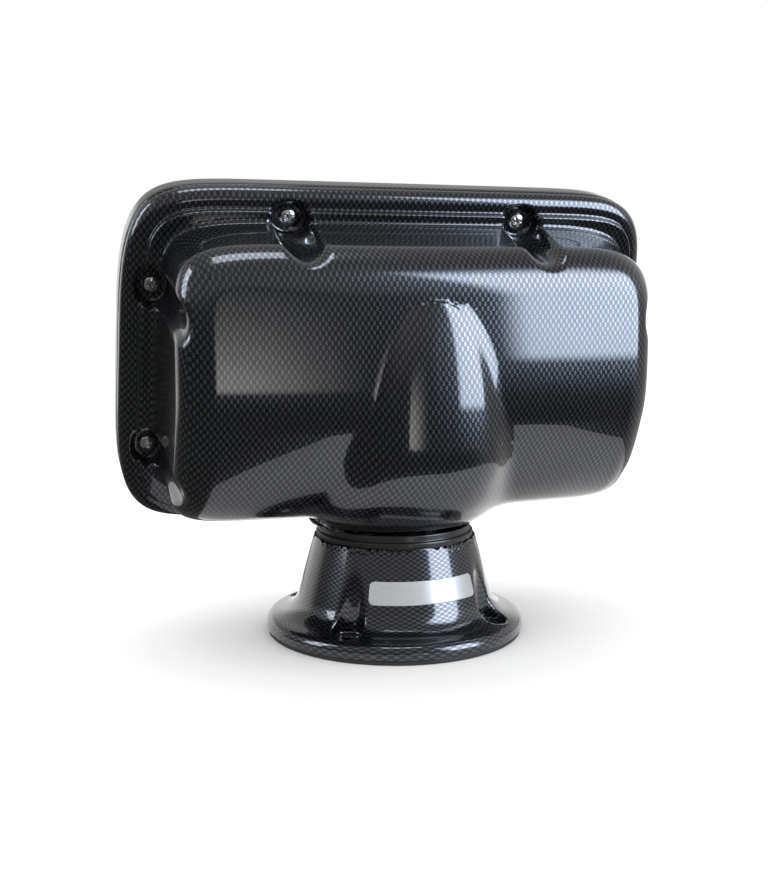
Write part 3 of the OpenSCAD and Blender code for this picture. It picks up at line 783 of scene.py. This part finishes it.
def carbon_gloss():
    """Carbon print under gloss coat on the pod, laid on flat from behind, from the sides and from above."""
    tree = Tree("carbon_gloss")
    point = tree.coords()
    drift = tree.math("MULTIPLY", tree.noise(point, 9.0, 1.0), PRINT_DRIFT)
    local = tree.split(tree.turned(point, POD_LEAN))
    facing = tree.split(tree.turned(tree.coords("Normal"), POD_LEAN, "VECTOR"))
    x, w, v = (tree.math("ADD", value, drift) for value in local)
    beside = tree.ramp(tree.math("ABSOLUTE", facing[0]), *SIDE_SHARE)
    above = tree.ramp(tree.math("ABSOLUTE", facing[2]), *SIDE_SHARE)
    mask = tree.mix_value(beside, weave(tree, x, v), weave(tree, w, v))
    mask = tree.mix_value(above, mask, weave(tree, x, w))
    carbon_finish(tree, mask, tree.noise(point, 22.0, 2.0))
    return tree.material


def carbon_round():
    """The same print wrapped round the pedestal."""
    tree = Tree("carbon_round")
    point = tree.coords()
    x, y, z = tree.split(point)
    drift = tree.math("MULTIPLY", tree.noise(point, 9.0, 1.0), PRINT_DRIFT)
    angle = tree.math("ARCTAN2", y, x)
    radius = tree.length(x, y)
    around = tree.math("ADD", tree.math("MULTIPLY", angle, PRINT_TURN_R), drift)
    down = tree.math("ADD", tree.math("SUBTRACT", radius, z), drift)
    carbon_finish(tree, weave(tree, down, around), tree.noise(point, 22.0, 2.0))
    return tree.material


def moulded(name, colour, roughness, grain=900.0, depth=0.00003, coat=0.0):
    """Moulded plastic or rubber: fine grain, faint mottling and a little wear in its gloss."""
    tree = Tree(name)
    point = tree.coords()
    cloud = tree.noise(point, 30.0, 4.0)
    dark = tuple(c * 0.8 for c in colour) + (1,)
    light = tuple(min(1, c * 1.25) for c in colour) + (1,)
    tree.links.new(tree.mix(cloud, dark, light), tree.shader.inputs["Base Color"])
    wear = tree.noise(point, 60.0, 5.0, 0.6)
    rough = tree.ramp(wear, 0.3, 0.7, roughness * 0.85, min(1, roughness * 1.2))
    tree.links.new(rough, tree.shader.inputs["Roughness"])
    tree.bump(tree.noise(point, grain, 2.0), depth)
    if coat:
        tree.set(Coat_Weight=coat, Coat_Roughness=0.08)
    return tree.material


def metal(name, colour, roughness, grain=700.0, stretch=(1, 1, 12), depth=0.00001):
    """Machined or drawn metal: fine lines one way, with cloudy gloss."""
    tree = Tree(name)
    point = tree.coords()
    lines = tree.nodes.new("ShaderNodeMapping")
    tree.put(lines.inputs["Vector"], point)
    lines.inputs["Scale"].default_value = stretch
    fine = tree.noise(lines.outputs[0], grain, 3.0, 0.6)
    cloud = tree.noise(point, 80.0, 4.0)
    dark = tuple(c * 0.82 for c in colour) + (1,)
    tree.links.new(tree.mix(cloud, dark, colour + (1,)), tree.shader.inputs["Base Color"])
    rough = tree.ramp(fine, 0.3, 0.7, roughness * 0.7, roughness * 1.4)
    tree.links.new(rough, tree.shader.inputs["Roughness"])
    tree.set(Metallic=1.0)
    tree.bump(fine, depth, 0.4)
    return tree.material


def label_film():
    tree = Tree("label_film")
    point = tree.coords()
    x, _, z = tree.split(point)
    stripes = tree.noise(tree.join(tree.math("MULTIPLY", x, 0.05), 0.0, z), 2600.0, 2.0)
    tone = tree.mix(stripes, (0.42, 0.43, 0.45, 1), (0.62, 0.63, 0.65, 1))
    tree.links.new(tone, tree.shader.inputs["Base Color"])
    tree.set(Metallic=0.25, Roughness=0.3, Coat_Weight=0.6, Coat_Roughness=0.06)
    return tree.material


def cover_lens():
    tree = Tree("cover_lens")
    haze = tree.ramp(tree.noise(tree.coords(), 40.0, 3.0), 0.35, 0.7, 0.01, 0.05)
    tree.links.new(haze, tree.shader.inputs["Roughness"])
    tree.set(Base_Color=(0.75, 0.8, 0.85, 1), Transmission_Weight=1.0, IOR=1.49)
    return tree.material


def screen_middle():
    """Middle of the display's screen along the axes that lcd_screen() works in, in metres."""
    low, high = box_mm("lcd_panel")
    lean = np.array([0, *(seam_centre[1:] @ pod_axes[1:, 1:].T)])
    return (to_pod((low + high) / 2) + lean) * MM, (high[0] - low[0]) / 2 * MM


def chart_page(tree, u, t):
    """Depth shades with contour lines beside a land mass, and a red track."""
    spot = tree.join(tree.math("MULTIPLY", u, 1.7), t, 0.0)
    ground = tree.noise(spot, 1.15, 6.0, 0.55)
    depth = tree.mix(tree.ramp(ground, 0.36, 0.50), (0.35, 0.62, 0.80, 1), (0.72, 0.88, 0.95, 1))
    line = tree.band(tree.math("FRACT", tree.math("MULTIPLY", ground, 26.0)), 0.5, 0.03, 0.09)
    sea = tree.mix(tree.math("MULTIPLY", line, 0.5), depth, (0.12, 0.30, 0.50, 1))
    chart = tree.mix(tree.ramp(ground, 0.535, 0.545), sea, (0.72, 0.60, 0.30, 1))
    course = tree.math("MULTIPLY", tree.math("SINE", tree.math("MULTIPLY", u, 3.0)), 0.35)
    return tree.mix(tree.band(t, course, 0.008, 0.018), chart, (0.75, 0.03, 0.03, 1))


def gauge_column(tree, u, t):
    """Three plain dials above each other, each a ring of ticks with a needle."""
    cell = tree.math("FRACT", tree.math("MULTIPLY", tree.math("ADD", t, 1.0), 1.5))
    up = tree.math("SUBTRACT", cell, 0.5)
    border = tree.ramp(tree.math("ABSOLUTE", up), 0.46, 0.475)
    panel = tree.mix(border, (0.012, 0.02, 0.035, 1), (0.10, 0.14, 0.20, 1))
    right = tree.math("MULTIPLY", tree.math("SUBTRACT", u, 0.76), 2.6)
    reach = tree.length(right, up)
    ring = tree.band(reach, 0.34, 0.02, 0.035)
    twelfths = tree.math("COSINE", tree.math("MULTIPLY", tree.math("ARCTAN2", up, right), 12.0))
    ticks = tree.math("MULTIPLY", tree.ramp(twelfths, 0.8, 0.95), tree.band(reach, 0.27, 0.03, 0.045))
    panel = tree.mix(tree.math("MAXIMUM", ring, ticks), panel, (0.75, 0.85, 0.9, 1))
    on_line = tree.band(up, tree.math("MULTIPLY", right, 0.8), 0.015, 0.03)
    ahead = tree.math("GREATER_THAN", right, 0.0)
    in_dial = tree.math("LESS_THAN", reach, 0.28)
    needle = tree.math("MULTIPLY", on_line, tree.math("MULTIPLY", ahead, in_dial))
    return tree.mix(needle, panel, (0.9, 0.35, 0.05, 1))


SCREEN_HALF_V = 0.0475


def lcd_screen():
    """A lit chart page beside a column of gauges, both without words or numbers."""
    tree = Tree("lcd_screen")
    local = tree.split(tree.turned(tree.coords(), POD_LEAN))
    middle, half_x = screen_middle()
    u = tree.math("DIVIDE", tree.math("SUBTRACT", local[0], float(middle[0])), half_x)
    t = tree.math("DIVIDE", tree.math("SUBTRACT", local[2], float(middle[2])), SCREEN_HALF_V)
    picture = tree.mix(tree.ramp(u, 0.519, 0.521), chart_page(tree, u, t), gauge_column(tree, u, t))
    rim = tree.math("MAXIMUM", tree.math("ABSOLUTE", u), tree.math("ABSOLUTE", t))
    picture = tree.mix(tree.ramp(rim, 0.955, 0.96), picture, (0.004, 0.005, 0.006, 1))
    tree.links.new(tree.mix(0.75, picture, (0.01, 0.01, 0.012, 1)), tree.shader.inputs["Base Color"])
    tree.links.new(picture, tree.shader.inputs["Emission Color"])
    tree.set(Emission_Strength=0.5, Roughness=0.35)
    return tree.material


def circuit_board():
    tree = Tree("circuit_board")
    point = tree.coords()
    x, _, z = tree.split(point)
    lines = tree.noise(tree.join(x, 0.0, z), 240.0, 1.0)
    trace = tree.band(lines, 0.5, 0.02, 0.05)
    tone = tree.mix(trace, (0.015, 0.13, 0.05, 1), (0.05, 0.30, 0.12, 1))
    tree.links.new(tone, tree.shader.inputs["Base Color"])
    tree.set(Roughness=0.35)
    return tree.material


materials = {
    "carbon_gloss": carbon_gloss(),
    "carbon_round": carbon_round(),
    "black_moulding": moulded("black_moulding", (0.014, 0.014, 0.015), 0.32, coat=0.15),
    "black_rubber": moulded("black_rubber", (0.016, 0.016, 0.016), 0.62, depth=0.00005),
    "key_rubber": moulded("key_rubber", (0.075, 0.077, 0.082), 0.55, depth=0.00003),
    "stainless": metal("stainless", (0.76, 0.76, 0.77), 0.15),
    "cast_aluminium": metal("cast_aluminium", (0.55, 0.56, 0.58), 0.34, 1500.0, (1, 1, 1), 0.00003),
    "brass": metal("brass", (0.78, 0.60, 0.28), 0.25),
    "label_film": label_film(),
    "bearing_plastic": moulded("bearing_plastic", (0.70, 0.67, 0.56), 0.42),
    "cover_lens": cover_lens(),
    "lcd_glass": lcd_screen(),
    "circuit_board": circuit_board(),
    "pressed_steel": metal("pressed_steel", (0.52, 0.53, 0.55), 0.3, 500.0, (1, 10, 1)),
}
slot_of = {part["node"]: part["material_slot"] for part in frame["record"]["subparts"]}


def finish_piece(obj, body, material, *nodes):
    """Gives a new piece its material and its body, and hides the CAD nodes that it stands for."""
    obj.data.materials.clear()
    obj.data.materials.append(materials[material])
    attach(obj, body)
    if nodes:
        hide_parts(*nodes)
    return obj


# ---- CAD nodes that stay ----
SOFT_EDGE = {
    "display_bezel": 0.9, "card_door": 0.4,
    "power_key": 0.5, "menu_key": 0.5, "page_key": 0.5, "mark_key": 0.5,
    "rotary_knob": 0.25, "select_button": 0.35, "cover_glass": 0.3, "tilt_yoke": 0.8, "tilt_frame": 0.8,
    "display_case": 1.0, "thrust_ring": 0.4, "ring_nut": 0.4, "deck_gasket": 0.4, "socket_caps": 0.4,
    "rear_sockets": 0.3, "pivot_nut": 0.4, "card_reader": 0.3,
}


def dress_cad_nodes():
    """Puts each shown CAD node's material on it, and rounds the edges that a hand would feel."""
    for name, obj in frame["nodes"].items():
        obj.data.materials.clear()
        obj.data.materials.append(materials[slot_of[name]])
        if obj.hide_render or name not in SOFT_EDGE:
            continue
        weld = obj.modifiers.new("weld", "WELD")
        weld.merge_threshold = 1e-6
        bevel = obj.modifiers.new("soft_edges", "BEVEL")
        bevel.width = SOFT_EDGE[name] * MM
        bevel.segments = 3
        bevel.limit_method = "ANGLE"
        bevel.angle_limit = SHARP_ANGLE
        bevel.harden_normals = True


# ---- camera, floor and lights ----
def add(obj):
    bpy.context.scene.collection.objects.link(obj)
    return obj


CAMERA_PLACE = (0.2153, 0.5899, 0.1886)
CAMERA_TURN, CAMERA_PAN, CAMERA_PITCH = 0.35, -0.009, 0.137
LENS, SENSOR = 47.7, 36


def camera():
    """The view to match: from behind, 20 degrees round, and looking down by 8 degrees."""
    data = bpy.data.cameras.new("camera")
    data.lens = LENS
    data.sensor_width = SENSOR
    obj = add(bpy.data.objects.new("camera", data))
    obj.location = CAMERA_PLACE
    right = Vector((-math.cos(CAMERA_TURN), math.sin(CAMERA_TURN), 0))
    back = Vector((math.sin(CAMERA_TURN), math.cos(CAMERA_TURN), 0))
    ahead = right * math.sin(CAMERA_PAN) - back * math.cos(CAMERA_PAN)
    ahead = ahead * math.cos(CAMERA_PITCH) - Vector((0, 0, math.sin(CAMERA_PITCH)))
    obj.rotation_euler = ahead.to_track_quat("-Z", "Y").to_euler()
    bpy.context.scene.camera = obj


NEAR_FLOOR, FAR_FLOOR = 0.187, 14.0
NEAR_MIDDLE = (-0.07, 0.0)


def disc(name, inner, outer, count=96):
    """A flat disc or ring on the floor round the near floor's middle."""
    angle = np.arange(count) / count * 2 * math.pi
    circle = np.stack([np.cos(angle), np.sin(angle), np.zeros(count)], 1)
    middle = np.array([*NEAR_MIDDLE, 0])
    points = np.concatenate([middle + circle * outer, middle + circle * inner])
    faces = [(k, (k + 1) % count, count + (k + 1) % count, count + k) for k in range(count)]
    if inner == 0:
        points, faces = points[:count], [tuple(range(count))]
    mesh = bpy.data.meshes.new(name)
    mesh.from_pydata(points.tolist(), [], faces)
    return add(bpy.data.objects.new(name, mesh))


def floor():
    """A pale floor. Only its near part shows in the gloss, as with a small table in a dark studio."""
    tree = Tree("floor_paper")
    tone = tree.mix(tree.noise(tree.coords(), 3.0, 4.0), (0.86, 0.86, 0.86, 1), (0.90, 0.90, 0.90, 1))
    tree.links.new(tone, tree.shader.inputs["Base Color"])
    tree.set(Roughness=0.9)
    near = disc("floor_near", 0, NEAR_FLOOR)
    far = disc("floor_far", NEAR_FLOOR, FAR_FLOOR)
    far.visible_glossy = False
    for obj in (near, far):
        obj.data.materials.append(tree.material)


AIM = Vector((0, 0, 0.15))
EVEN_FADE = (0.1, 0.1, 0.1, 0.1)


def panel(name, azimuth, elevation, distance, wide, high, strength, colour, fade=EVEN_FADE):
    """A soft light facing the object, which shows in gloss and leaves matt surfaces alone. Azimuth runs from +Y
    towards +X, and fade is its soft share at each edge."""
    a, e = math.radians(azimuth), math.radians(elevation)
    data = bpy.data.lights.new(name, "AREA")
    data.shape = "RECTANGLE"
    data.size, data.size_y = wide, high
    data.energy = wide * high * math.pi * strength
    data.color = colour
    data.use_nodes = True
    glow = Glow(data.node_tree)
    u, v, _ = glow.split(glow.nodes.new("ShaderNodeNewGeometry").outputs["Parametric"])
    level = None
    for value, share, flip in zip((u, u, v, v), fade, (False, True, False, True)):
        edge = glow.ramp(value, 1 - share, 1.0, 1.0, 0.0) if flip else glow.ramp(value, 0.0, share)
        level = edge if level is None else glow.math("MULTIPLY", level, edge)
    glow.put(glow.shader.inputs["Strength"], level)
    obj = add(bpy.data.objects.new(name, data))
    way = Vector((math.sin(a) * math.cos(e), math.cos(a) * math.cos(e), math.sin(e)))
    obj.visible_diffuse = False
    obj.location = AIM + way * distance
    obj.rotation_euler = (-way).to_track_quat("-Z", "Y").to_euler()


class Glow(Tree):
    """A light's node tree, with Tree's short ways to add nodes."""

    def __init__(self, tree):
        self.nodes, self.links = tree.nodes, tree.links
        self.shader = next(node for node in self.nodes if node.type == "EMISSION")


class Sky(Tree):
    """The world's node tree, with Tree's short ways to add nodes."""

    def __init__(self):
        world = bpy.data.worlds.new("studio")
        bpy.context.scene.world = world
        world.use_nodes = True
        self.nodes, self.links = world.node_tree.nodes, world.node_tree.links
        self.shader = self.nodes["Background"]


def lights():
    """Three softboxes and a window in a dim room, and a wide soft light that doesn't show in the gloss."""
    panel("softbox_right", -43, 22, 1.5, 0.95, 1.45, 9.0, (0.84, 0.96, 1.15), (0.12, 0.12, 0.04, 0.3))
    panel("window_left", -7, -2, 1.6, 0.5, 0.5, 3.2, (1.0, 0.97, 0.95), (0.08, 0.92, 0.15, 0.85))
    panel("softbox_left", 96, 27, 1.5, 0.5, 1.15, 6.0, (0.9, 0.98, 1.08))
    panel("softbox_top", 0, 83, 1.3, 0.6, 0.42, 5.0, (0.9, 0.98, 1.08))
    data = bpy.data.lights.new("even_light", "SUN")
    data.energy = 3.4
    data.angle = math.radians(130)
    add(bpy.data.objects.new("even_light", data)).visible_glossy = False
    dim_room()


def dim_room():
    """A world that is plain white to the camera and a dim room with one paler wall to everything else."""
    sky = Sky()
    x, y, z = sky.split(sky.coords("Generated"))
    level = sky.ramp(z, -0.05, 0.3, 0.10, 0.45)
    level = sky.math("ADD", level, sky.ramp(x, -0.95, -0.55, 0.35, 0.0))
    low = sky.math("MULTIPLY", sky.ramp(z, -0.2, -0.1), sky.ramp(z, 0.2, 0.4, 1.0, 0.0))
    wall = sky.math("MULTIPLY", low, sky.ramp(y, -0.8, -0.55, 0.75, 0.0))
    level = sky.math("ADD", level, wall)
    seen = sky.nodes.new("ShaderNodeLightPath").outputs["Is Camera Ray"]
    sky.put(sky.shader.inputs["Strength"], sky.mix_value(seen, level, 1.0))
    sky.shader.inputs["Color"].default_value = (1, 1, 1, 1)


camera()
floor()
lights()
rear_shell()
front_shell()
pedestal()
label()
collar()
shell_screws()
dress_cad_nodes()
bpy.context.scene.view_settings.view_transform = "Standard"
